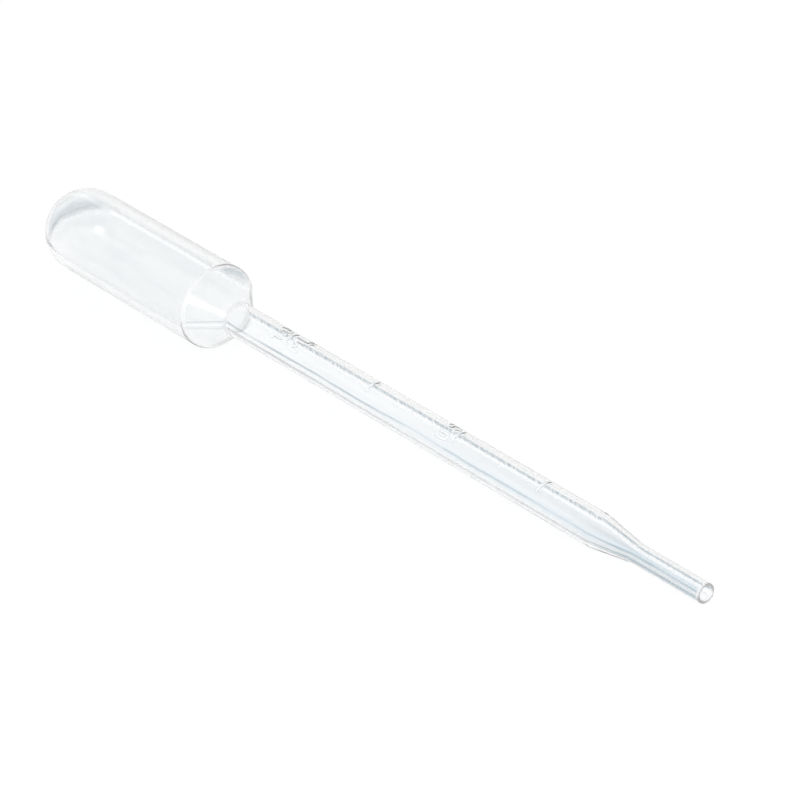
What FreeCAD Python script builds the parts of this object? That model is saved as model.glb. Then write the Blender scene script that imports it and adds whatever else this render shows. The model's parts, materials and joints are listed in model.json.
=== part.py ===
"""Blow-moulded dropper pipette: one thin-walled soft plastic piece, lying on a flat surface.

The piece is a hollow body of revolution: a thin tip, a taper, a long stem with raised
graduations, a conical shoulder, a squeeze bulb and a domed end. Along both sides runs the fine
ridge where the two mould halves met, and round the dome the thicker fin where they pinched the
tube shut. Lengths along the axis are counted from the tip's mouth.
"""
import FreeCAD, Part
import math
import os

V = FreeCAD.Vector

# ---- driving dimensions, in millimetres and degrees -------------------------------------------
tip_length = 13.5            # straight thin tube at the mouth
taper_length = 7.6           # from the tip up to the stem
stem_length = 79.7
shoulder_length = 5.3        # cone between the stem and the bulb
bulb_length = 32.7           # straight part of the bulb; a half-ball dome closes it

tip_radius = 1.45            # outside radii
stem_radius = 2.55
bulb_radius = 6.5

tip_wall = 0.40              # wall thicknesses
stem_wall = 0.49
bulb_wall = 0.40

tip_corner = 1.5             # rounding where the outline turns
stem_corner = 2.0
neck_corner = 0.5
rim_corner = 0.45

parting_ridge_height = 0.08  # the fine ridge that the mould's joint leaves
parting_ridge_width = 0.30
pinch_fin_height = 0.55      # the fin round the dome where the tube was pinched shut
pinch_fin_width = 0.90

mark_height = 0.18           # how far ticks and figures stand out of the stem
mark_root = 0.12             # how deep they reach into the wall, so that they fuse with it
tick_width = 0.55
tick_span = 56.0             # arc of the stem that a tick covers
figure_height = 2.1
figure_stroke = 0.34
figure_gap = 0.35            # between neighbouring figures
figure_offset = 1.0          # from a tick's middle to the foot or head of the figures beside it

# distance of each tick from the mouth, the figures above it and the unit below it
graduations = [(32.0, "", ""), (50.0, "0.5", ""), (68.9, "", ""), (87.7, "1.0", "ML")]

roll = 15.0                  # how far the piece lies turned about its own axis

# ---- places worked out from them --------------------------------------------------------------
stem_start = tip_length + taper_length
neck = stem_start + stem_length
rim = neck + shoulder_length
dome_start = rim + bulb_length
fuse_margin = 0.3            # overshoot of cutting and fusing shapes
STEM_CORNER, RIM_CORNER = 3, 5   # numbers of the outline's corners that it can lie on

# Each figure is a list of strokes on a field one figure_height tall, centred on x = 0:
# ("bar", x0, y0, x1, y1) or ("bow", centre x, centre y, radius, start angle, sweep).
FIGURES = {
    "0": (0.58, [("bar", -0.21, 0.21, -0.21, 0.79), ("bar", 0.21, 0.21, 0.21, 0.79),
                 ("bow", 0.0, 0.79, 0.21, 0.0, 180.0), ("bow", 0.0, 0.21, 0.21, 180.0, 180.0)]),
    "1": (0.36, [("bar", 0.08, 0.0, 0.08, 1.0), ("bar", 0.08, 1.0, -0.12, 0.80)]),
    "5": (0.60, [("bar", -0.19, 1.0, 0.22, 1.0), ("bar", -0.19, 1.0, -0.19, 0.55),
                 ("bar", -0.19, 0.55, -0.04, 0.58),
                 ("bow", -0.04, 0.29, 0.29, -130.0, 220.0)]),
    ".": (0.18, [("bar", 0.0, 0.0, 0.0, 0.05)]),
    "M": (0.90, [("bar", -0.36, 0.0, -0.36, 1.0), ("bar", 0.36, 0.0, 0.36, 1.0),
                 ("bar", -0.36, 1.0, 0.0, 0.35), ("bar", 0.36, 1.0, 0.0, 0.35)]),
    "L": (0.55, [("bar", -0.18, 0.0, -0.18, 1.0), ("bar", -0.18, 0.0, 0.24, 0.0)]),
}


def rounded_outline(corners):
    """Edges of a polyline of (s, radius, rounding) corners, with tangent arcs at the rounded ones.

    Also returns the centre (s, radius) of each arc, by corner number."""
    edges, centres, start = [], {}, V(-corners[0][0], 0, corners[0][1])
    for i in range(1, len(corners)):
        s, r, rounding = corners[i]
        here = V(-s, 0, r)
        if rounding > 0:
            before = V(-corners[i - 1][0], 0, corners[i - 1][1])
            after = V(-corners[i + 1][0], 0, corners[i + 1][1])
            back = (before - here).normalize()
            ahead = (after - here).normalize()
            half_turn = (math.pi - back.getAngle(ahead)) / 2
            reach = rounding * math.tan(half_turn)
            inward = (back + ahead).normalize()
            centre = here + inward * (rounding / math.cos(half_turn))
            middle = centre - inward * rounding
            edges.append(Part.LineSegment(start, here + back * reach).toShape())
            edges.append(Part.Arc(here + back * reach, middle, here + ahead * reach).toShape())
            centres[i] = (-centre.x, centre.z)
            start = here + ahead * reach
        else:
            edges.append(Part.LineSegment(start, here).toShape())
            start = here
    return edges, centres


def outline(corners, ball_radius):
    """The half section above the axis: the rounded corners, closed by a quarter of a ball."""
    edges, centres = rounded_outline(corners)
    diagonal = ball_radius * math.sqrt(0.5)
    apex = V(-dome_start - ball_radius, 0, 0)
    edges.append(Part.Arc(V(-dome_start, 0, ball_radius),
                          V(-dome_start - diagonal, 0, diagonal), apex).toShape())
    edges.append(Part.LineSegment(apex, V(-corners[0][0], 0, 0)).toShape())
    return Part.Face(Part.Wire(edges)), centres


def outer_outline(extra=0.0):
    """The half section of the outside, with every radius larger by extra."""
    return outline([
        (0, 0, 0),
        (0, tip_radius + extra, 0),
        (tip_length, tip_radius + extra, tip_corner),
        (stem_start, stem_radius + extra, stem_corner),
        (neck, stem_radius + extra, neck_corner),
        (rim, bulb_radius + extra, rim_corner),
        (dome_start, bulb_radius + extra, 0),
    ], bulb_radius + extra)


def inner_outline():
    """The half section of the air inside, open at the mouth.

    The shoulder's wall is as thick as the bulb's, measured square to its slope."""
    slope = math.atan2(bulb_radius - stem_radius, shoulder_length)
    wall_in_line = bulb_wall / math.cos(slope)
    stem_bore = stem_radius - stem_wall
    bulb_bore = bulb_radius - bulb_wall
    neck_shift = (wall_in_line - stem_wall) / math.tan(slope)
    rim_shift = (wall_in_line - bulb_wall) / math.tan(slope)
    return outline([
        (-fuse_margin, 0, 0),
        (-fuse_margin, tip_radius - tip_wall, 0),
        (tip_length, tip_radius - tip_wall, tip_corner),
        (stem_start, stem_bore, stem_corner),
        (neck + neck_shift, stem_bore, neck_corner),
        (rim + rim_shift, bulb_bore, rim_corner),
        (dome_start, bulb_bore, 0),
    ], bulb_bore)[0]


def turned(section):
    """A half section turned round the X axis."""
    return section.revolve(V(0, 0, 0), V(1, 0, 0), 360)


def parting_ridges():
    """The fine ridge along each side, where the mould halves met.

    Each is a plate in the level plane, with the outline's own edge a ridge's height further out."""
    plate = outer_outline(parting_ridge_height)[0].extrude(V(0, parting_ridge_width, 0))
    plate.translate(V(0, -parting_ridge_width / 2, 0))
    ridges = []
    for side in (90, -90):
        ridge = plate.copy()
        ridge.rotate(V(0, 0, 0), V(1, 0, 0), side)
        ridges.append(ridge)
    return ridges


def pinch_fin():
    """The fin round the dome: a plate cut from a larger ball, no wider than the ridged bulb."""
    ball = Part.makeSphere(bulb_radius + pinch_fin_height, V(-dome_start, 0, 0))
    half_side = bulb_radius + parting_ridge_height
    end = dome_start + bulb_radius + pinch_fin_height
    plate = Part.makeBox(end - dome_start, 2 * half_side, pinch_fin_width,
                         V(-end, -half_side, -pinch_fin_width / 2))
    return ball.common(plate)


def tick(s):
    """A rounded rib across the top of the stem, centred s from the mouth."""
    foot = stem_radius - mark_root
    left, right = V(-s - tick_width / 2, 0, foot), V(-s + tick_width / 2, 0, foot)
    crest = V(-s, 0, stem_radius + mark_height)
    section = Part.Wire([Part.Arc(left, crest, right).toShape(),
                         Part.LineSegment(right, left).toShape()])
    section.rotate(V(0, 0, 0), V(1, 0, 0), -tick_span / 2)
    return Part.Face(section).revolve(V(0, 0, 0), V(1, 0, 0), tick_span)


def stroke_solid(stroke, bottom, depth):
    """One stroke of a figure as an upright prism with round ends, reading up along -X."""
    half = figure_stroke / 2
    kind, values = stroke[0], stroke[1:]
    if kind == "bar":
        x0, y0, x1, y1 = [value * figure_height for value in values]
        start, end = V(-y0, x0, bottom), V(-y1, x1, bottom)
        along = end - start
        across = V(-along.y, along.x, 0).normalize() * half
        outline = Part.makePolygon([start + across, end + across, end - across, start - across,
                                    start + across])
        solid = Part.Face(outline).extrude(V(0, 0, depth))
        ends = [start, end]
    else:
        cx, cy, radius = [value * figure_height for value in values[:3]]
        first, sweep = values[3], values[4]
        centre = V(-cy, cx, bottom)
        # angles run from the reading direction (+Y) towards the figure's head (-X)
        ring = Part.makeCylinder(radius + half, depth, centre, V(0, 0, 1), sweep)
        hole = Part.makeCylinder(radius - half, depth, centre)
        solid = ring.cut(hole)
        solid.rotate(centre, V(0, 0, 1), 90 + first)
        ends = []
        for angle in (first, first + sweep):
            turn = math.radians(angle)
            ends.append(centre + V(-math.sin(turn), math.cos(turn), 0) * radius)
    return solid.multiFuse([Part.makeCylinder(half, depth, end) for end in ends])


def figures(text, foot):
    """Raised figures round the top of the stem, their feet at foot and their heads to the bulb."""
    bottom = stem_radius - stem_wall - fuse_margin
    depth = stem_wall + mark_height + 2 * fuse_margin
    skin_start = -foot - figure_height - figure_stroke
    skin_length = figure_height + 2 * figure_stroke
    skin = Part.makeCylinder(stem_radius + mark_height, skin_length, V(skin_start, 0, 0), V(1, 0, 0))
    skin = skin.cut(Part.makeCylinder(stem_radius - mark_root, skin_length, V(skin_start, 0, 0),
                                      V(1, 0, 0)))
    widths = [FIGURES[letter][0] * figure_height for letter in text]
    total = sum(widths) + figure_gap * (len(text) - 1)
    solids, left = [], -total / 2
    for letter, width in zip(text, widths):
        strokes = [stroke_solid(stroke, bottom, depth) for stroke in FIGURES[letter][1]]
        letter_solid = strokes[0].multiFuse(strokes[1:]) if len(strokes) > 1 else strokes[0]
        letter_solid.translate(V(-foot, 0, 0))
        # the text runs to +Y here, so a letter to the right turns from the top towards +Y
        turn = -math.degrees((left + width / 2) / stem_radius)
        raised = letter_solid.common(skin)
        raised.rotate(V(0, 0, 0), V(1, 0, 0), turn)
        solids.append(raised)
        left += width + figure_gap
    return solids


def marks():
    """All ticks and figures of the scale."""
    solids = []
    for s, above, below in graduations:
        solids.append(tick(s))
        if above:
            solids += figures(above, s + figure_offset)
        if below:
            solids += figures(below, s - figure_offset - figure_height)
    return solids


def rest_tilt(rim_centre, stem_centre):
    """Angle by which the axis dips towards the tip until the stem's foot or the mouth touches.

    The surface is then tangent to the rim's arc and to the first of the two that it meets."""
    dips = []
    for (s, r), rounding in ((stem_centre, stem_corner), ((0, tip_radius), 0)):
        ds, dr = rim_centre[0] - s, rim_centre[1] - r
        dips.append(math.atan2(dr, ds) + math.asin((rim_corner - rounding) / math.hypot(ds, dr)))
    return math.degrees(min(dips))


def pipette():
    """The whole piece, lying as it comes to rest, with its bulb to -X and its tip to +X."""
    section, centres = outer_outline()
    body = turned(section).multiFuse(parting_ridges() + [pinch_fin()] + marks())
    body = body.cut(turned(inner_outline())).removeSplitter()
    rim_centre = centres[RIM_CORNER]
    tilt = rest_tilt(rim_centre, centres[STEM_CORNER])
    body.rotate(V(0, 0, 0), V(1, 0, 0), roll)
    body.rotate(V(0, 0, 0), V(0, 1, 0), tilt)
    s, r = rim_centre
    dip = math.radians(tilt)
    lowest = s * math.sin(dip) - r * math.cos(dip) - rim_corner
    box = body.optimalBoundingBox(False)
    mouth = V(-box.Center.x, -box.Center.y, -lowest)
    body.translate(mouth)
    return body, tilt, mouth


os.makedirs("parts", exist_ok=True)
shape, tilt, mouth = pipette()
shape.exportStep("parts/pipette.step")
box = shape.optimalBoundingBox(False)
print("solids", len(shape.Solids), "valid", shape.isValid(), "volume mm3 %.2f" % shape.Volume)
print("box mm %.3f %.3f %.3f to %.3f %.3f %.3f" % (box.XMin, box.YMin, box.ZMin,
                                                    box.XMax, box.YMax, box.ZMax))
print("tilt deg %.3f, centre of the mouth mm %.3f %.3f %.3f" % (tilt, mouth.x, mouth.y, mouth.z))
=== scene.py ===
# %% [markdown]
# # A blown dropper pipette, built as one clear skin
#
# The real thing is one piece of soft clear plastic. A short hot tube is shut between two mould
# halves and blown up against them, so the outside is smooth and carries the mould's marks, and
# the inside is only the place where the plastic stopped. Clear things are drawn by both of these
# faces, so this lesson makes the outside and the inside as one closed skin.

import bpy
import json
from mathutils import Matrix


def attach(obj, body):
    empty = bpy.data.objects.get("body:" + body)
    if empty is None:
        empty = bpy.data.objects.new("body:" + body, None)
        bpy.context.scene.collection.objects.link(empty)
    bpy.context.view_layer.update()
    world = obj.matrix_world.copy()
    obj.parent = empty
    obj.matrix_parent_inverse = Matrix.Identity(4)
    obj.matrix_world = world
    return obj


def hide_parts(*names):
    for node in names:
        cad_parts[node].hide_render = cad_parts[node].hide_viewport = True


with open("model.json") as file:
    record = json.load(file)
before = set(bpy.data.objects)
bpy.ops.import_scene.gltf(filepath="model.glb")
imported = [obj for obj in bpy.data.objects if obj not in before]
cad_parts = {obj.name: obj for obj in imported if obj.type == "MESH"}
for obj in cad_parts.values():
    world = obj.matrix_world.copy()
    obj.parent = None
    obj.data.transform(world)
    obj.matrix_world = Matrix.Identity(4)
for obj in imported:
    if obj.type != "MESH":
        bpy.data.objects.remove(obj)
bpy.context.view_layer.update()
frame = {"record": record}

import json
import math

import bpy
import numpy as np
from mathutils import Matrix, Vector

# %% [markdown]
# ## Where the pipette lies, and how long each stretch is
#
# The record names three round stretches by their middle, their radius and their length: the tip,
# the stem and the bulb. These give the line of the axis and every length along it, so this model
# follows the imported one. Lengths along the axis are called s and are counted from the mouth,
# in millimetres.

# %% The axis and the lengths along it
MM = 0.001
mounts = {mount["name"]: mount for mount in frame["record"]["mounts"]}
tip, stem, bulb = (mounts[name] for name in ("tip_outside", "stem_outside", "bulb_outside"))
tip_radius, stem_radius, bulb_radius = (m["dims"]["r_mm"] for m in (tip, stem, bulb))
tip_length = tip["dims"]["length_mm"]
to_bulb = -np.array(tip["axis"], float)
mouth = np.array(tip["pos_m"]) / MM - to_bulb * tip_length / 2


def along_axis(mount):
    """How far a stretch's middle lies from the mouth, measured along the axis."""
    return float((np.array(mount["pos_m"]) / MM - mouth) @ to_bulb)


stem_start = along_axis(stem) - stem["dims"]["length_mm"] / 2
neck = along_axis(stem) + stem["dims"]["length_mm"] / 2
rim = along_axis(bulb) - bulb["dims"]["length_mm"] / 2
dome_start = along_axis(bulb) + bulb["dims"]["length_mm"] / 2
print("stem %.1f to %.1f, bulb %.1f to %.1f mm" % (stem_start, neck, rim, dome_start))

# %% The other sizes, in millimetres
tip_wall, stem_wall, bulb_wall = 0.40, 0.49, 0.40
tip_corner, stem_corner, neck_corner, rim_corner = 1.5, 2.0, 0.4, 0.9
roll = math.radians(15.0)                # how far the scale is turned from the top
side = np.array([0.0, -1.0, 0.0])        # the side towards which azimuths grow
upward = np.cross(side, to_bulb)
upward *= np.sign(upward[2])
print("upward from the axis", upward.round(3))

# %% [markdown]
# ## The outline
#
# Everything round comes from one half section: a broken line with its corners rounded by arcs
# that touch both sides. The mould gives the outside its corners, and the inside follows a wall's
# thickness further in. A closed formula for such a line is clumsy, so it is worked out as a list
# of points that is finer than any mesh needs, and the mesh reads radii from it.

# %% A broken line with rounded corners
def rounded(corners):
    """Points of a broken line of (s, radius, rounding) corners.

    A corner's arc starts and ends rounding * tan(half its turn) before and after the corner, and
    its points are the centre plus rounding times a direction that turns evenly between the two."""
    points = [np.array(corners[0][:2], float)]
    for before, (s, r, rounding), after in zip(corners, corners[1:], corners[2:]):
        here = np.array((s, r), float)
        back = np.array(before[:2]) - here
        ahead = np.array(after[:2]) - here
        back, ahead = back / np.linalg.norm(back), ahead / np.linalg.norm(ahead)
        half_turn = (math.pi - math.acos(float(np.clip(back @ ahead, -1, 1)))) / 2
        inward = (back + ahead) / np.linalg.norm(back + ahead)
        centre = here + inward * rounding / math.cos(half_turn)
        first = here + back * rounding * math.tan(half_turn) - centre
        last = here + ahead * rounding * math.tan(half_turn) - centre
        share = np.linspace(0, 1, 25)[:, None]
        ways = first * (1 - share) + last * share
        points.extend(centre + rounding * ways / np.linalg.norm(ways, axis=1)[:, None])
    points.append(np.array(corners[-1][:2], float))
    return np.array(points)


outside = rounded([(0, tip_radius, 0), (tip_length, tip_radius, tip_corner),
                   (stem_start, stem_radius, stem_corner), (neck, stem_radius, neck_corner),
                   (rim, bulb_radius, rim_corner), (dome_start, bulb_radius, 0)])
slope = math.atan2(bulb_radius - stem_radius, rim - neck)
cone_wall = bulb_wall / math.cos(slope)      # the shoulder's wall, measured square to the axis
neck_shift = (cone_wall - stem_wall) / math.tan(slope)
rim_shift = (cone_wall - bulb_wall) / math.tan(slope)
inside = rounded([(0, tip_radius - tip_wall, 0), (tip_length, tip_radius - tip_wall, tip_corner),
                  (stem_start, stem_radius - stem_wall, stem_corner),
                  (neck + neck_shift, stem_radius - stem_wall, neck_corner + stem_wall),
                  (rim + rim_shift, bulb_radius - bulb_wall, rim_corner - bulb_wall),
                  (dome_start, bulb_radius - bulb_wall, 0)])
print("outline points", len(outside), "and", len(inside))

# %% [markdown]
# ## Rows and columns
#
# The skin is a grid: rows go along the axis and columns go round it. The figures are strokes half
# a millimetre wide, so rows and columns crowd together there and at the mould's joint, and are
# wide apart on the plain stretches. One helper spreads both.

# %% Places along a line, closer together in some zones
def spread(start, end, gap, zones):
    """Places from start to end, gap apart, or closer in each zone of (from, to, gap).

    One over the wanted gap is added up along the line, and a place is set each time that this sum
    has grown by one."""
    line = np.linspace(start, end, 40001)
    wanted = np.full_like(line, gap)
    for low, high, near in zones:
        wanted = np.where((line >= low) & (line <= high), np.minimum(wanted, near), wanted)
    total = np.concatenate([[0.0], np.cumsum((line[1] - line[0]) / wanted[1:])])
    return np.interp(np.linspace(0, total[-1], math.ceil(total[-1]) + 1), total, line)


graduations = [(32.0, "", ""), (50.0, "0.5", ""), (68.9, "", ""), (87.7, "1.0", "ML")]
figure_height, figure_stroke, figure_gap, figure_offset = 2.1, 0.56, 0.35, 1.0
mark_height, tick_width, tick_span = 0.07, 0.66, math.radians(56.0)

mark_zones = [(s - 0.5, s + 0.5, 0.075) for s, above, below in graduations]
mark_zones += [(s + figure_offset - 0.3, s + figure_offset + figure_height + 0.3, 0.085)
               for s, above, below in graduations if above]
mark_zones += [(s - figure_offset - figure_height - 0.3, s - figure_offset + 0.3, 0.085)
               for s, above, below in graduations if below]
lip = tip_wall / 2                           # the mouth's edge is a half round
corner_zones = [(tip_length - 1.2, tip_length + 1.2, 0.3),
                (stem_start - 1.2, stem_start + 1.2, 0.3), (neck - 0.6, neck + 0.6, 0.1),
                (rim - 0.6, rim + 0.6, 0.08), (0, 1.0, 0.2)]
outer_rows = spread(lip, dome_start, 1.3, mark_zones + corner_zones)
inner_rows = spread(lip, dome_start, 1.6, corner_zones + [(neck, dome_start, 0.42)])
under_marks, joints = (-42, 47, 1.35), [(-97, -83, 1.3), (83, 97, 1.3)]
at_ridges = [(-94.5, -85.5, 0.6), (85.5, 94.5, 0.6)]
columns = np.radians(spread(-180, 180, 4.0, [under_marks] + joints + at_ridges)[:-1])
dome_turn = np.radians(np.linspace(90, 0, 41)[1:-1])
print(len(outer_rows), "outer rows,", len(inner_rows), "inner rows,", len(columns), "columns")

# %% [markdown]
# ## Ticks and figures
#
# They are cut into the mould, so on the pipette they stand out of the wall, with soft round tops.
# Each figure is a handful of straight strokes and bows. A stroke needs no mesh of its own: the
# distance from each grid point to the stroke's middle line says how high the skin is lifted.

# %% Strokes of the figures, on a field one figure high
FIGURES = {
    "0": (0.58, [("bar", -0.21, 0.21, -0.21, 0.79), ("bar", 0.21, 0.21, 0.21, 0.79),
                 ("bow", 0.0, 0.79, 0.21, 0.0, 180.0), ("bow", 0.0, 0.21, 0.21, 180.0, 180.0)]),
    "1": (0.36, [("bar", 0.08, 0.0, 0.08, 1.0), ("bar", 0.08, 1.0, -0.12, 0.80)]),
    "5": (0.60, [("bar", -0.19, 1.0, 0.22, 1.0), ("bar", -0.19, 1.0, -0.19, 0.55),
                 ("bar", -0.19, 0.55, -0.04, 0.58), ("bow", -0.04, 0.29, 0.29, -130.0, 220.0)]),
    ".": (0.18, [("bar", 0.0, 0.0, 0.0, 0.05)]),
    "M": (0.90, [("bar", -0.36, 0.0, -0.36, 1.0), ("bar", 0.36, 0.0, 0.36, 1.0),
                 ("bar", -0.36, 1.0, 0.0, 0.35), ("bar", 0.36, 1.0, 0.0, 0.35)]),
    "L": (0.55, [("bar", -0.18, 0.0, -0.18, 1.0), ("bar", -0.18, 0.0, 0.24, 0.0)]),
}


def from_bar(x, y, x0, y0, x1, y1):
    """Distance to a straight stroke: to the nearest point between its two ends."""
    length = max((x1 - x0) ** 2 + (y1 - y0) ** 2, 1e-9)
    share = np.clip(((x - x0) * (x1 - x0) + (y - y0) * (y1 - y0)) / length, 0, 1)
    return np.hypot(x - x0 - share * (x1 - x0), y - y0 - share * (y1 - y0))


def from_bow(x, y, cx, cy, radius, first, sweep):
    """Distance to an arc: to its circle where the point faces the arc, else to the nearer end."""
    angle = (np.degrees(np.arctan2(y - cy, x - cx)) - first) % 360
    ends = [np.hypot(x - cx - radius * math.cos(math.radians(a)),
                     y - cy - radius * math.sin(math.radians(a))) for a in (first, first + sweep)]
    return np.where(angle <= sweep, abs(np.hypot(x - cx, y - cy) - radius), np.minimum(*ends))


def text_distance(text, x, y):
    """Distance from each point to the nearest stroke of a centred line of figures."""
    nearest = np.full(x.shape, 9.0)
    widths = [FIGURES[letter][0] * figure_height for letter in text]
    left = -(sum(widths) + figure_gap * (len(text) - 1)) / 2
    for letter, width in zip(text, widths):
        for kind, *sizes in FIGURES[letter][1]:
            lengths, angles = (sizes, []) if kind == "bar" else (sizes[:3], sizes[3:])
            measure = from_bar if kind == "bar" else from_bow
            lengths = [value * figure_height for value in lengths]
            nearest = np.minimum(nearest, measure(x - left - width / 2, y, *lengths, *angles))
        left += width + figure_gap
    return nearest


print("letters drawn from strokes:", " ".join(FIGURES))

# %% How high the marks lift the skin
def crown(distance, half_width):
    """A soft ridge: one at its middle line and 0 at its half width, level at both.

    It is the square of one minus the square of the distance's share of the half width."""
    return np.clip(1 - (distance / half_width) ** 2, 0, 1) ** 2


def mark_relief(s, azimuth):
    """Height of the ticks and figures over the plain wall. Azimuth 0 is their middle line."""
    across = -azimuth * stem_radius              # the reading direction
    height = np.zeros(s.shape)
    for place, above, below in graduations:
        tick = from_bar(across, s, -tick_span / 2 * stem_radius, place,
                        tick_span / 2 * stem_radius, place)
        height = np.maximum(height, crown(tick, tick_width / 2))
        for text, foot in ((above, place + figure_offset),
                           (below, place - figure_offset - figure_height)):
            if text:
                height = np.maximum(height, crown(text_distance(text, across, s - foot),
                                                  figure_stroke / 2))
    return mark_height * height


# %% [markdown]
# ## The mould's joint
#
# Where the two mould halves met, a fine ridge runs along both sides, and round the dome it grows
# to the low fin at which they pinched the hot tube shut. Inside, the same squeeze pushed up a weld
# bead with ragged flanks. All of it lies in one plane through the axis, so its height depends only
# on the distance from that plane. The marks, the ridge and the fin are lower and softer here than
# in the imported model, because clear plastic draws every small step strongly.

# %% Ridge, fin and bead
ridge_height, ridge_width = 0.035, 0.60
fin_height, fin_width = 0.12, 1.60
bead_height, bead_width = 0.10, 1.20


def joint_relief(radius, azimuth):
    """Height of the ridge: two fine crests, with a shallow groove between them."""
    off_plane = abs(radius * np.cos(azimuth))
    crest = crown(off_plane - ridge_width * 0.2, ridge_width * 0.3)
    return ridge_height * np.maximum(crest, 0.6 * crown(off_plane, ridge_width / 2))


def fin_relief(turn, azimuth):
    """Height of the fin over the dome, where turn is 0 at the pole and a right angle at the rim.

    In the joint's plane the fin follows a larger ball, cut off where it would be wider than the
    bulb, and beside the plane it falls away as a soft crest."""
    ball = bulb_radius + fin_height
    widest = (bulb_radius + ridge_height) / np.maximum(np.sin(turn) * abs(np.sin(azimuth)), 1e-3)
    crest = np.minimum(ball, widest) - bulb_radius
    return crest * crown(bulb_radius * np.sin(turn) * np.cos(azimuth), fin_width / 2)


def bead_relief(s, radius, azimuth):
    """Height of the weld bead inside: a crest whose flanks wander with a sum of short waves."""
    wander = sum(np.cos(2 * math.pi * s / length + phase + (azimuth > 0) * 2.1)
                 for length, phase in zip(bead_waves, bead_phases)) / len(bead_waves)
    half_width = bead_width / 2 * (1 + 0.8 * wander * np.clip((s - neck) / 2, 0, 1))
    height = np.where(azimuth < 0, bead_height, 0.04 * bead_height)
    return height * crown(radius * np.cos(azimuth), half_width)


bead_draw = np.random.default_rng(11)
bead_waves, bead_phases = bead_draw.uniform(0.7, 4.5, 12), bead_draw.uniform(0, 2 * math.pi, 12)
print("bead waves in mm", bead_waves.round(1))

# %% [markdown]
# ## Waves in the wall
#
# Nothing holds the inside of a blown wall to a size, so it keeps long shallow streaks from the
# tube it came from. They are far too low to feel, but clear plastic bends light by them, and they
# break every reflection into rough-edged bands. A sum of waves makes them: each goes a whole
# number of times round, so that it meets itself, and slowly along.

# %% A sum of long waves
draw = np.random.default_rng(7)


def streaks(s, azimuth, count, most_round, shortest):
    """Between -1 and 1: the mean of cosines of (whole number * azimuth + s * pitch + phase)."""
    total = np.zeros(np.broadcast(s, azimuth).shape)
    for _ in range(count):
        turns = draw.integers(2, most_round)
        pitch = 2 * math.pi / draw.uniform(shortest, shortest * 5) * draw.choice((-1, 1))
        total += np.cos(turns * azimuth + pitch * s + draw.uniform(0, 2 * math.pi))
    return total / count


# %% [markdown]
# ## Where the plastic is dense, and where shade is painted
#
# A pipette like this has darker, bluish places: beside the joint, in one cap of the shoulder, and
# round the end above the joint. Squeezed plastic is thicker and takes more light away, which may
# explain a part of it, and the rest is shadow. Here all of it is painted as denser plastic and
# painted shade together, fixed to the skin, so it stays where it is when the pipette is turned.
# These are smooth shapes, so they are kept as a number at each mesh point.

# %% How dense each place is, and where shade is painted
def soft_step(value, low, high):
    """0 below low and 1 above high: 3 x squared less 2 x cubed of the share x between them."""
    share = np.clip((value - low) / (high - low), 0, 1)
    return share * share * (3 - 2 * share)


def dense_and_shaded_inside(s, r, azimuth):
    """Density and painted shade of the inner skin: deep on the shoulder where it stands furthest
    out to the far upper side, and round the end above the joint's plane, and light over the rest
    of the bulb."""
    degrees = np.degrees(azimuth)
    outward = r * np.cos(azimuth + math.radians(51.0))
    # painted shade in the cap of the shoulder and round the end, and a light painted tint over the
    # bulb
    shoulder = 0.68 * soft_step(outward, 4.75, 5.3) * (1 - soft_step(s, rim - 0.2, rim + 0.2))
    height = np.cos(azimuth) * r
    near_pole = soft_step(s, dome_start + 3, dome_start + 4.6)
    over_end = soft_step(height, -0.1, 0.3) * (1 - 0.8 * soft_step(height, 0.9, 3.0))
    over_end *= np.maximum(1 - soft_step(degrees, -50, -30), near_pole)
    end = 0.52 * over_end * soft_step(s, dome_start, dome_start + 4)
    end *= 1 - soft_step(degrees, 60, 80) * (1 - near_pole)
    edges = soft_step(degrees, -82, -68) * (1 - soft_step(degrees, -15, 5))
    edges = edges + soft_step(degrees, 78, 90) * (1 - soft_step(degrees, 150, 170))
    level = 0.075 * (1 - 0.9 * edges)
    return soft_step(s, neck, rim) * (level + np.maximum(shoulder, end))


def painted_ridge_shade(s, r, azimuth):
    """Painted shade on the outer skin: a fine dark line along each flank of the joint's ridge,
    deepest on the tip, and a ring in the corner at the neck."""
    off_plane = abs(r * np.cos(azimuth))
    depth = 0.33 + 0.15 * (1 - soft_step(s, neck, rim)) + 0.8 * (1 - soft_step(s, 12, 26))
    depth = depth * (1 - soft_step(s, dome_start - 1, dome_start + 1))
    flank = depth * crown(off_plane - 0.16, 0.13)
    return flank + 0.5 * crown(s - neck, 0.35) * (1 + np.sin(azimuth)) / 2


# %% [markdown]
# ## The skin
#
# The rows run from the dome's outer pole down to the mouth, over its cut edge, and back up the
# inside to the inner pole. Each point is the mouth, plus s along the axis, plus the radius in the
# direction that its azimuth gives. The two poles are single points with a fan of triangles.

# %% Rows of the outer and the inner skin
def skin_rows(line, rows, ball_radius):
    """Places (s, radius) and their outward directions for the dome and the rows below it.

    On the dome a point is the dome's centre plus the ball's radius in the direction of its turn.
    Below it the radius is read from the outline, and the direction is square to its slope."""
    radius = np.interp(rows, line[:, 0], line[:, 1])
    fall = np.gradient(radius, rows)
    s = np.concatenate([dome_start + ball_radius * np.cos(dome_turn), rows])
    r = np.concatenate([ball_radius * np.sin(dome_turn), radius])
    lean = np.hypot(fall, 1)
    way_s = np.concatenate([np.cos(dome_turn), -fall / lean])
    way_r = np.concatenate([np.sin(dome_turn), 1 / lean])
    order = np.argsort(-s)
    return (a[order][:, None] for a in (s, r, way_s, way_r))


around = columns[None, :]
s, r, way_s, way_r = skin_rows(outside, outer_rows, bulb_radius)
turn = np.arctan2(r, np.maximum(s - dome_start, 0))
calm = np.clip(r / stem_radius, 0, 1)
lift = mark_relief(s + 0 * around, around + 0 * s)
mark_shape = lift / mark_height
lift = np.maximum(lift, joint_relief(r, around))
lift = np.where(s > dome_start, np.maximum(lift, fin_relief(turn, around)), lift)
sink = np.where(r > stem_radius + 0.1, 0.004, 0.0015) * calm
lift = lift - sink * (1 - streaks(s, around, 14, 9, 14.0))
outer_s, outer_r = s + way_s * lift, r + way_r * lift

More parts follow.
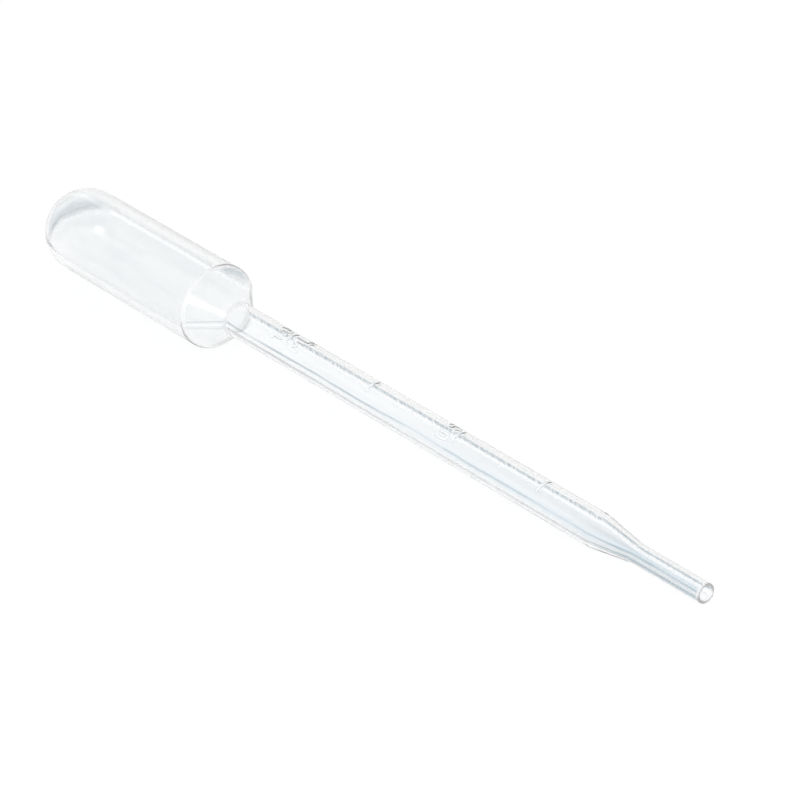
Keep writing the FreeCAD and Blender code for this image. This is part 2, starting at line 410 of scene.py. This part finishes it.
s, r, way_s, way_r = skin_rows(inside, inner_rows, bulb_radius - bulb_wall)
calm = np.clip(r / stem_radius, 0, 1)
depth = np.where(r > stem_radius + 0.1, 0.006, 0.003) * calm
lift = depth * streaks(s, around, 18, 12, 45.0)
along = dome_start + (bulb_radius - bulb_wall) * np.arctan2(np.maximum(s - dome_start, 0), r)
path = np.where(s > dome_start, along, s)
lift = lift - bead_relief(path, r, around) * np.clip((s - neck) / (rim - neck), 0.25, 1)
inner_s, inner_r = (s + way_s * lift)[::-1], (r + way_r * lift)[::-1]
print("outer", outer_s.shape, "inner", inner_s.shape)

# %% The closed skin as one mesh
lip_turn = np.linspace(0, math.pi, 9)[1:-1, None] + 0 * around
lip_s = lip * (1 - np.sin(lip_turn))
lip_r = tip_radius - lip + lip * np.cos(lip_turn)
grid_s = np.concatenate([outer_s, lip_s, inner_s])
grid_r = np.concatenate([outer_r, lip_r, inner_r])


def placed(s, r, azimuth):
    """Points in metres: the mouth, s along the axis, and r in the azimuth's direction."""
    azimuth = azimuth + roll
    out = np.cos(azimuth)[..., None] * upward + np.sin(azimuth)[..., None] * side
    return (mouth + s[..., None] * to_bulb + r[..., None] * out) * MM


n_rows, n_columns = grid_s.shape
points = placed(grid_s, grid_r, around + 0 * grid_s).reshape(-1, 3)
poles = [dome_start + bulb_radius + fin_height, dome_start + bulb_radius - bulb_wall]
points = np.vstack([points, placed(np.array(poles), np.zeros(2), np.zeros(2))])
row, column = np.meshgrid(np.arange(n_rows - 1), np.arange(n_columns), indexing="ij")
after = (column + 1) % n_columns
quads = np.stack([row * n_columns + column, (row + 1) * n_columns + column,
                  (row + 1) * n_columns + after, row * n_columns + after], -1).reshape(-1, 4)
first, last = np.arange(n_columns), (n_rows - 1) * n_columns + np.arange(n_columns)
pole = n_rows * n_columns
fans = np.vstack([np.stack([0 * first + pole, first, np.roll(first, -1)], -1),
                  np.stack([0 * last + pole + 1, np.roll(last, -1), last], -1)])
triangles = np.vstack([quads[:, [0, 1, 2]], quads[:, [0, 2, 3]], fans])
a, b, c = (points[triangles[:, i]] / MM for i in range(3))
volume = float((a * np.cross(b, c)).sum() / 6)
if volume < 0:
    quads, fans, volume = quads[:, ::-1], fans[:, ::-1], -volume
print("triangles", len(triangles), "plastic in cubic mm %.1f" % volume)

# %% Make the object
mesh = bpy.data.meshes.new("clear_pipette")
mesh.from_pydata(points.tolist(), [], quads.tolist() + fans.tolist())
mesh.polygons.foreach_set("use_smooth", np.ones(len(mesh.polygons), bool))
mesh.update()
pipette = bpy.data.objects.new("clear_pipette", mesh)
bpy.context.scene.collection.objects.link(pipette)
print("closed:", mesh.validate() is False, "points", len(mesh.vertices))

# %% [markdown]
# ## Numbers kept at the mesh's points
#
# The finish needs some numbers that come from the shape: at how flat an angle the wall throws a
# ray aside, how dense the plastic is and where shade is painted, how far a mark is raised, and
# where a point lies beside the joint. A ray at a share of the radius from the axis meets the
# outside at the angle whose sine is that share, and it runs inside the wall when the share is
# over the inner radius by the outer one.

# %% How flat a ray may come before the wall throws it aside
key_lean = 0.646                             # cosine between the key lamp's ray and a cross cut
never = 2.0                                  # a limit that no angle reaches
wall_share = np.interp(outer_rows[::-1], outside[:, 0], outside[:, 1])
wall_share = 1 - np.interp(outer_rows[::-1], inside[:, 0], inside[:, 1]) / wall_share
wall_share = np.concatenate([np.full(len(dome_turn), bulb_wall / bulb_radius), wall_share])
lean = np.full(wall_share.shape, key_lean)
lean[:len(dome_turn)] += (1 - key_lean) * np.cos(dome_turn[::-1])
limit = 1 - lean * np.sqrt(1 - (1 - wall_share) ** 2)
limit = np.concatenate([limit, np.full(n_rows - len(limit), never)])
limit = np.concatenate([np.repeat(limit, n_columns), [limit[0], never]])
mesh.attributes.new("edge_limit", "FLOAT", "POINT").data.foreach_set("value", limit)
print("limits from %.2f to %.2f" % (limit.min(), limit[limit < never].max()))

# %% How dense each point is and where shade is painted, how raised, and where it lies beside the joint
point_s = np.concatenate([grid_s.ravel(), poles])
point_r = np.concatenate([grid_r.ravel(), [0.0, 0.0]])
point_azimuth = np.concatenate([(around + 0 * grid_s).ravel(), [0.0, 0.0]])
is_inner = np.repeat(np.arange(n_rows) >= n_rows - len(inner_s), n_columns)
is_inner = np.concatenate([is_inner, [False, True]]).astype(float)
mark_share = np.pad(mark_shape.ravel(), (0, len(points) - mark_shape.size))
# painted shade on the ridge's flanks, in the corner at the neck and on the flanks of the marks
painted_outer_shade = painted_ridge_shade(point_s, point_r, point_azimuth) + 1.5 * mark_share * (1 - mark_share)
shade_and_density = np.where(is_inner > 0, dense_and_shaded_inside(point_s, point_r, point_azimuth), painted_outer_shade)
from_pole = np.degrees(np.arctan2(point_r, np.maximum(point_s - dome_start, 0)))
past_end = 1 - soft_step(from_pole, 25, 55)
round_end = (bulb_radius - bulb_wall) * np.arctan2(np.maximum(point_s - dome_start, 0), point_r)
point_path = np.minimum(point_s, dome_start) + round_end
beside_joint = np.stack([point_path, point_r * (math.pi / 2 - abs(point_azimuth)),
                         is_inner * (np.sin(point_azimuth) * (1 - past_end) - past_end)], -1)
# the density with the painted shade, and how raised each point is, are kept on the mesh
for name, value in (("squeeze", shade_and_density), ("raised", mark_share)):
    mesh.attributes.new(name, "FLOAT", "POINT").data.foreach_set("value", value)
mesh.attributes.new("beside_joint", "FLOAT_VECTOR", "POINT").data.foreach_set(
    "vector", beside_joint.ravel())
print("densest point %.2f, marked points %d" % (shade_and_density.max(), (mark_share > 0).sum()))

# %% [markdown]
# ## Shader sums written in Python
#
# A finish is a small sum of patterns. Wiring dozens of nodes by hand hides that sum, so one class
# stands for a node's output: the usual signs between two of them add the Math node that does it,
# and one method adds any other node.

# %% A class for one output of a node
class Wire:
    """One output of a shader node, or a bare node tree to start from."""

    def __init__(self, tree, socket=None):
        self.tree, self.socket = tree, socket

    def add(self, kind, settings=None, inputs=None, out=0):
        """A new node: its settings first, then the values or wires of its inputs."""
        made = self.tree.nodes.new("ShaderNode" + kind)
        for name, value in (settings or {}).items():
            setattr(made, name, value)
        for name, value in (inputs or {}).items():
            if isinstance(value, Wire):
                self.tree.links.new(value.socket, made.inputs[name])
            else:
                made.inputs[name].default_value = value
        return Wire(self.tree, made.outputs[out]) if len(made.outputs) else None

    def maths(self, operation, *values):
        """The Math node that does this operation on wires or numbers."""
        return self.add("Math", {"operation": operation}, dict(enumerate(values)))

    def __add__(self, other): return self.maths("ADD", self, other)
    def __radd__(self, other): return self.maths("ADD", other, self)
    def __sub__(self, other): return self.maths("SUBTRACT", self, other)
    def __rsub__(self, other): return self.maths("SUBTRACT", other, self)
    def __mul__(self, other): return self.maths("MULTIPLY", self, other)
    def __rmul__(self, other): return self.maths("MULTIPLY", other, self)

    def step(self, low, high):
        """0 below low and 1 above high, with a soft step between them."""
        return self.add("MapRange", {"interpolation_type": "SMOOTHSTEP"},
                        {"Value": self, "From Min": low, "From Max": high})

    def within(self, centre, half):
        """1 where this wire is nearer to the centre than half, with soft sides."""
        return 1.0 - self.maths("ABSOLUTE", self - centre).step(0.5 * half, 1.5 * half)

    def blend(self, first, second):
        """A mix of two colours, where this wire is the second one's share."""
        return self.add("Mix", {"data_type": "RGBA"}, {0: self, 6: first, 7: second}, out=2)


def new_finish(name):
    """A material with an empty node tree, and its starting wire."""
    material = bpy.data.materials.new(name)
    material.use_nodes = True
    material.node_tree.nodes.clear()
    return material, Wire(material.node_tree)


print("wires ready")

# %% [markdown]
# ## Clear, slightly milky plastic
#
# This plastic is soft polyethylene. It bends light like glass does, and it is never quite clear:
# tiny crystals in it scatter a little light. That milky share is kept small, because scattered
# light is found by chance and a short render shows it as grain. The mould leaves fine grain on
# the outside, and the drawn tube leaves long fine lines.

# %% Grain and fine lines
plastic, start = new_finish("clear_soft_plastic")
dip = math.asin(to_bulb[2])
place = start.add("TexCoord", out="Object")
straight = place.add("Mapping", {"vector_type": "POINT"},
                     {"Vector": place, "Rotation": (0.0, -dip, 0.0)})


def lengthwise(stretch, per_metre, detail=2.0):
    """Noise that is drawn out along the axis, with so many lumps a metre across it."""
    drawn = straight.add("VectorMath", {"operation": "MULTIPLY"},
                         {0: straight, 1: (per_metre / stretch, per_metre, per_metre)})
    return straight.add("TexNoise", {"noise_dimensions": "3D"},
                        {"Vector": drawn, "Scale": 1.0, "Detail": detail}, out=0)


draw_lines = lengthwise(30.0, 1500.0)
ripples = lengthwise(14.0, 900.0)
grain = lengthwise(1.0, 6000.0, 1.0)
height = draw_lines * 5.0e-6 + ripples * 4.0e-6 + grain * 1.0e-6
bump = start.add("Bump", None, {"Strength": 1.0, "Distance": 1.0, "Height": height})

print("nodes so far:", len(plastic.node_tree.nodes))

# %% [markdown]
# ## Weld, painted shadow, painted highlights and milky places
#
# The weld on the far side is a ragged dark line with a whitish line of painted highlight beside it.
# A thin dark line of painted shadow runs along the near side of the stem too; it is colour only,
# and a fold in the skin there would be a guess. Beside it the stem is painted bluer, more and more
# towards the tip, as painted shade. The tops of the marks are milky, as soft plastic is where it
# was stretched, and that milk is also their painted highlight; a milky band along the near ridge
# over the shoulder is painted highlight as well. The corners and the mouth are milky for another
# reason: a renderer drops light that is reflected inside the wall too often, which leaves black
# edges there, and the milk covers them with painted light.
#
# All of these follow lines on the skin. The attribute beside_joint gives three numbers: the way
# along the skin in millimetres, the way round it from the joint's plane towards the top, and the
# half, which is below 0 on the inside's far half and round end, above 0 on its near half, and 0 on
# the outside. Each line is then the distance from a wandering middle.

# %% The ways along and round the skin
beside = start.add("Attribute", {"attribute_name": "beside_joint"}, out=1)
axes = start.add("SeparateXYZ", None, {"Vector": beside}).socket.node.outputs
along, up, half = (Wire(start.tree, axes[name]) for name in "XYZ")
far_half, near_half = (0.0 - half).step(0.3, 0.6), half.step(0.3, 0.6)


def wander(per_mm, detail, offset):
    """Noise along the axis only, from about -0.3 to 0.3."""
    return start.add("TexNoise", {"noise_dimensions": "1D"},
                     {"W": along * per_mm + offset, "Scale": 1.0, "Detail": detail}) - 0.5


print("numbers read from:", beside.socket.node.attribute_name)

# %% The weld's line and the painted shadow line
weld = up.within(wander(1.6, 6.0, 3.0) * 0.6, 0.31) * far_half
weld = weld * (0.30 + 0.55 * wander(1.4, 4.0, 40.0).step(-0.2, 0.1))
weld = weld * (1.0 - along.step(neck, rim) * (0.55 + 0.25 * along.step(dome_start + 3, dome_start)))
weld = weld * (1.0 - 0.4 * along.step(26.0, 12.0))
# a dark line of painted shadow along the near side of the stem
painted_shadow_line = 0.62 + 0.28 * along.step(14.0, 24.0) - 0.16 * along.step(55.0, 80.0)
painted_shadow_line = up.within(painted_shadow_line + wander(0.08, 2.0, 9.0) * 0.3, 0.15) * near_half
painted_shadow_line = painted_shadow_line * along.step(rim + 1, rim - 1) * (1.0 - 0.6 * along.step(neck, neck + 1))
painted_shadow_line = painted_shadow_line * (0.78 - 0.32 * along.step(80.0, 50.0) + 0.2 * along.step(26.0, 16.0))
painted_shadow_line = painted_shadow_line * (0.35 + 0.65 * wander(0.06, 2.0, 70.0).step(-0.3, 0.1))
print("nodes so far:", len(plastic.node_tree.nodes))

# %% Painted bluish and darker shade on the stem, the tip and the bulb
# painted shade: bluer and darker zones of the tip, the stem and the bulb
painted_tip_shade = up.step(-0.7, -0.1) * near_half * along.step(28.0, 12.0)
painted_cool_shade = up.step(0.1, 0.8) * up.step(2.1, 0.8) * near_half * along.step(110.0, 20.0)
painted_far_shade = up.step(-3.2, -1.4) * up.step(-0.4, -1.1) * far_half * along.step(75.0, 40.0)
painted_rim_shade = up.step(-4.0, -1.8) * up.step(-1.0, -1.5) * far_half * along.step(rim - 2, rim + 2)
shade_and_density = start.add("Attribute", {"attribute_name": "squeeze"}, out=2)
# the weld darkens the plastic, and so do the painted shadow line and the painted shade
shade_and_density = shade_and_density + weld + painted_shadow_line * 0.95 + painted_cool_shade * 0.16 + painted_far_shade * 0.24 + painted_rim_shade * 0.09
shade_and_density = shade_and_density + painted_tip_shade * 0.35 * (1.0 - painted_cool_shade)
shade_and_density = shade_and_density.maths("MINIMUM", shade_and_density + lengthwise(16.0, 700.0).step(0.35, 0.7) * 0.03, 1.0)
print("nodes so far:", len(plastic.node_tree.nodes))

# %% The clear plastic
refractive_index = 1.51                      # of soft polyethylene
# the bluish colour is painted shade; the dark colour is for denser plastic and painted shade
clear_colour, painted_cool_colour = (0.994, 0.999, 1.0, 1.0), (0.78, 0.90, 0.98, 1.0)
dense_and_shade_colour = (0.06, 0.155, 0.22, 1.0)
colour = shade_and_density.blend(painted_cool_shade.blend(clear_colour, painted_cool_colour), dense_and_shade_colour)
roughness = 0.05 + lengthwise(4.0, 900.0).step(0.4, 0.8) * 0.03
shader = start.add("BsdfPrincipled", None, {
    "Base Color": colour, "Roughness": roughness, "IOR": refractive_index,
    "Transmission Weight": 0.985, "Normal": bump})
print("nodes so far:", len(plastic.node_tree.nodes))

# %% The milky places and the painted light
white_milk_and_highlight, grey_milk = (0.97, 0.975, 0.975, 1.0), (0.83, 0.815, 0.81, 1.0)
bends = along.within(rim, 0.22) + along.within(neck, 0.3) + along.step(0.7, 0.25)
bends = bends + up.within(0.0, 0.45) * along.step(dome_start - 0.5, dome_start + 1)
milk = start.add("BsdfPrincipled", None, {
    "Base Color": bends.blend(white_milk_and_highlight, grey_milk), "Roughness": 0.5,
    "IOR": refractive_index, "Normal": bump})
# a whitish painted highlight beside the far weld
milk_and_painted_light = up.within(-0.72 + wander(1.6, 5.0, 90.0) * 0.7, 0.22) * far_half * 0.4
milk_and_painted_light = milk_and_painted_light + bends * 0.42
on_shoulder = along.within((neck + rim) / 2, (rim - neck) / 2)
# a painted highlight along the near ridge over the shoulder
milk_and_painted_light = milk_and_painted_light + up.within(0.15, 0.2) * near_half * on_shoulder * 0.5
raised = start.add("Attribute", {"attribute_name": "raised"}, out=2)
# milky tops of the marks, which are also their painted highlight
milk_and_painted_light = milk_and_painted_light + raised.step(0.25, 0.9) * 0.5
shader = start.add("MixShader", None, {0: milk_and_painted_light, 1: shader, 2: milk})
print("nodes so far:", len(plastic.node_tree.nodes))

# %% [markdown]
# ## The light that comes through
#
# A clear tube throws a strange shadow. Light goes through its middle, and only the two edges are
# dark, where a ray would have to run along inside the wall and is thrown aside. A path tracer
# finds such light by luck, so a lamp's ray, and a ray on its way from the floor, goes straight
# through the plastic here, except where it meets the outside at too flat an angle for the wall.
# Each face also mirrors some light away, and more of it the more glancing the ray: a share of 0.04,
# and of the rest one minus the cosine to the fifth power.

# %% Let lamps shine through, but not along the wall
facing = start.add("LayerWeight", None, {"Blend": 0.5}, out=1)
edge_limit = start.add("Attribute", {"attribute_name": "edge_limit"}, out=2)
mirrored = 0.04 + 0.96 * facing.maths("POWER", facing, 5.0)
edge = facing.maths("MAXIMUM", (facing - edge_limit).step(0.0, 0.05), mirrored)
through = start.add("BsdfTransparent", None, {"Color": (0.99, 0.995, 1.0, 1.0)})
rays = start.add("LightPath").socket.node.outputs
lit = start.add("MixShader", None, {0: edge, 1: through, 2: shader})
from_floor = start.add("MixShader", None,
                       {0: Wire(start.tree, rays["Is Diffuse Ray"]), 1: shader, 2: lit})
surface = start.add("MixShader", None,
                    {0: Wire(start.tree, rays["Is Shadow Ray"]), 1: from_floor, 2: lit})
start.add("OutputMaterial", None, {"Surface": surface})
pipette.data.materials.append(plastic)
print("nodes in the plastic:", len(plastic.node_tree.nodes))

# %% The piece joins the frame
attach(pipette, "root")
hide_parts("pipette")

# %% [markdown]
# ## Floor and light
#
# Clear things show what stands round them. A white floor shines through the plastic, and an even
# pale room keeps its edges light. Soft lamps in front draw the highlights on the bulb and on the
# shoulder, and a small key lamp draws the shadow on the floor. All of it is kept plain: an opaque
# grey pipette in this light comes out at 1.0 to 1.2 times the grey that is written for it.

# %% The floor
floor_finish, start = new_finish("white_floor")
rays = start.add("LightPath", out="Is Camera Ray")
path = rays.socket.node
seen = rays + Wire(rays.tree, path.outputs["Is Glossy Ray"]) \
    + Wire(rays.tree, path.outputs["Is Transmission Ray"])
seen = seen.maths("MINIMUM", seen, 1.0)
plain = start.add("BsdfDiffuse", None, {"Color": (0.95, 0.95, 0.95, 1.0)})
white = start.add("Emission", None, {"Color": (1.0, 1.0, 1.0, 1.0), "Strength": 1.04})
surface = start.add("MixShader", None, {0: seen * 0.7, 1: plain, 2: white})
start.add("OutputMaterial", None, {"Surface": surface})

reach = 3.0
turns = np.linspace(0, 2 * math.pi, 65)[:-1]
ring = np.stack([reach * np.cos(turns), reach * np.sin(turns), 0 * turns], -1)
floor_mesh = bpy.data.meshes.new("floor")
floor_mesh.from_pydata(ring.tolist(), [], [list(range(64))])
floor = bpy.data.objects.new("floor", floor_mesh)
floor_mesh.materials.append(floor_finish)
bpy.context.scene.collection.objects.link(floor)
print("floor radius in m", reach)

# %% The room
world = bpy.data.worlds.new("room")
bpy.context.scene.world = world
world.use_nodes = True
world.node_tree.nodes.clear()
start = Wire(world.node_tree)
way = start.add("TexCoord", out="Generated")
parts = way.add("SeparateXYZ", None, {"Vector": way})
level = Wire(parts.tree, parts.socket.node.outputs["Z"])
front = Wire(parts.tree, parts.socket.node.outputs["Y"]) * -1.0
walls = front.step(-0.5, 0.6).blend((0.955, 0.945, 0.935, 1.0), (0.92, 0.935, 0.95, 1.0))
room = level.step(0.42, 0.60).blend(walls, (0.88, 0.89, 0.90, 1.0))
light = start.add("Background", None, {"Color": room, "Strength": 1.0})
start.add("OutputWorld", None, {"Surface": light})


def soft_lamp(name, towards, distance, size, brightness, colour=(1.0, 1.0, 1.0)):
    """A soft lamp that faces the pipette, with its long side hung along the pipette.

    Its power is brightness * area * pi."""
    data = bpy.data.lights.new(name, "AREA")
    data.shape, data.size, data.size_y = "RECTANGLE", size[0], size[1]
    data.energy = brightness * size[0] * size[1] * math.pi
    data.color = colour
    lamp = bpy.data.objects.new(name, data)
    way = Vector(towards).normalized()
    short = way.cross(Vector((1, 0, 0))).normalized()
    lamp.location = way * distance
    lamp.rotation_mode = "QUATERNION"
    turned = Matrix((short.cross(way), short, way)).transposed()
    lamp.rotation_quaternion = turned.to_quaternion()
    bpy.context.scene.collection.objects.link(lamp)
    return lamp


soft_lamp("soft_back", (-0.715, 0.3335, 0.614), 1.2, (0.7, 0.16), 0.45)
soft_lamp("soft_front", (0.30, -0.90, 0.30), 1.4, (0.6, 0.4), 4.5)
soft_lamp("wide_front", (0.30, -0.90, 0.30), 1.45, (1.2, 0.9), 0.4)
key = soft_lamp("key", (0.763, -0.522, 0.377), 2.5, (0.25, 0.25), 35.0, (1.0, 0.98, 0.955))
key.visible_glossy = key.visible_transmission = False    # it draws the shadow, not a highlight

# %% [markdown]
# ## The camera
#
# A long lens from a good half metre away, looking down at the pipette from the side of its tip.

# %% Place the camera
azimuth, elevation = math.radians(51.59), math.radians(24.12)
back = Vector((math.sin(azimuth) * math.cos(elevation), -math.cos(azimuth) * math.cos(elevation),
               math.sin(elevation)))
camera_data = bpy.data.cameras.new("camera")
camera_data.sensor_width, camera_data.lens = 36.0, 197.97
camera_data.clip_start, camera_data.clip_end = 0.05, 20.0
camera = bpy.data.objects.new("camera", camera_data)
camera.location = Vector(mouth * MM) + Vector((0.371406, -0.344681, 0.253456))
camera.rotation_mode = "QUATERNION"
camera.rotation_quaternion = (-back).to_track_quat("-Z", "Y")
bpy.context.scene.collection.objects.link(camera)
bpy.context.scene.camera = camera
bpy.context.scene.view_settings.view_transform = "Standard"
print("camera at", [round(v, 3) for v in camera.location])
